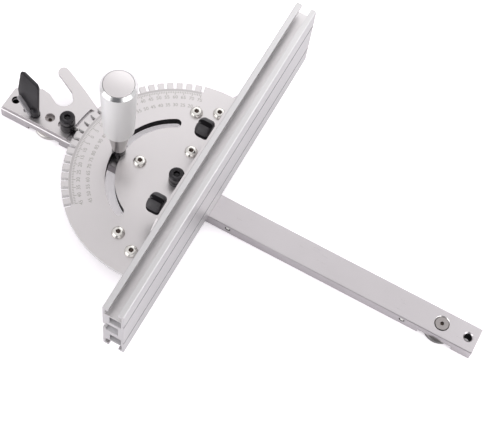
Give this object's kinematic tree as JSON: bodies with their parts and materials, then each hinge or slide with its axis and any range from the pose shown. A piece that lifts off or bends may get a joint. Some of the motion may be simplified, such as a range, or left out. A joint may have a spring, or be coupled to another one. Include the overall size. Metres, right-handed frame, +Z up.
{
  "type": "miter gauge",
  "caption": "Miter gauge for a machine table: slot bar, notched protractor head with clamp handle, indexing plate with wing lever, and a sliding extruded fence.",
  "frame": {"origin": "on the head's pivot axis, at the bar's bottom face", "axes": "+X along the bar to its free end, +Z up, +Y along the fence"},
  "size_m": [0.3553, 0.254, 0.1013],
  "materials": {
    "bar_alloy": "clear anodised, drawn bar",
    "plate_alloy": "clear anodised, fine blasted plate",
    "fence_alloy": "clear anodised extrusion",
    "handle_alloy": "satin turned and anodised",
    "disc_steel": "turned steel",
    "bright_steel": "bright plated",
    "black_steel": "black oxide",
    "black_plastic": "moulded, fine texture",
    "white_nylon": "plain"
  },
  "bodies": {
    "bar": {"guide_bar": "bar_alloy", "front_slot_disc": "disc_steel", "rear_slot_disc": "disc_steel", "disc_screws": "disc_steel", "side_set_screws": "black_steel", "set_screw_tips": "white_nylon", "pivot_bush": "disc_steel", "pivot_collar": "black_steel", "pivot_screw": "black_steel", "index_guide_collar": "black_steel", "index_guide_screw": "black_steel"},
    "head": {"head_plate": "plate_alloy", "fence_bracket": "plate_alloy", "bracket_screws": "bright_steel", "left_tee_bolt": "bright_steel", "right_tee_bolt": "bright_steel", "knob_washers": "black_steel"},
    "handle": {"handle_grip": "handle_alloy", "handle_cap": "handle_alloy", "handle_stud": "black_steel", "handle_collar": "black_steel"},
    "index": {"index_plate": "plate_alloy", "index_tooth": "black_steel"},
    "wing": {"wing_lever": "black_plastic", "wing_stud": "black_steel", "wing_washer": "black_steel"},
    "fence": {"fence": "fence_alloy"},
    "left_knob": {"left_knob": "black_plastic"},
    "right_knob": {"right_knob": "black_plastic"}
  },
  "joints": [
    {"name": "head_pivot", "type": "hinge", "parent": "bar", "child": "head", "pos_m": [0, 0, 0.0126], "axis": [0, 0, 1], "range_deg": [-45, 60]},
    {"name": "handle_turn", "type": "hinge", "parent": "bar", "child": "handle", "pos_m": [-0.0441, 0, 0.022], "axis": [0, 0, 1], "range_deg": [0, 360]},
    {"name": "index_slide", "type": "slide", "parent": "bar", "child": "index", "axis": [1, 0, 0], "range_m": [0, 0.0036]},
    {"name": "wing_turn", "type": "hinge", "parent": "bar", "child": "wing", "pos_m": [-0.1079, -0.003, 0.0134], "axis": [0, 0, 1], "range_deg": [-90, 90]},
    {"name": "fence_slide", "type": "slide", "parent": "head", "child": "fence", "axis": [0, 1, 0], "range_m": [-0.08, 0.08]},
    {"name": "left_knob_turn", "type": "hinge", "parent": "head", "child": "left_knob", "pos_m": [0.0023, -0.032, 0.04], "axis": [1, 0, 0], "range_deg": [0, 360]},
    {"name": "right_knob_turn", "type": "hinge", "parent": "head", "child": "right_knob", "pos_m": [0.0023, 0.032, 0.04], "axis": [1, 0, 0], "range_deg": [0, 360]}
  ]
}
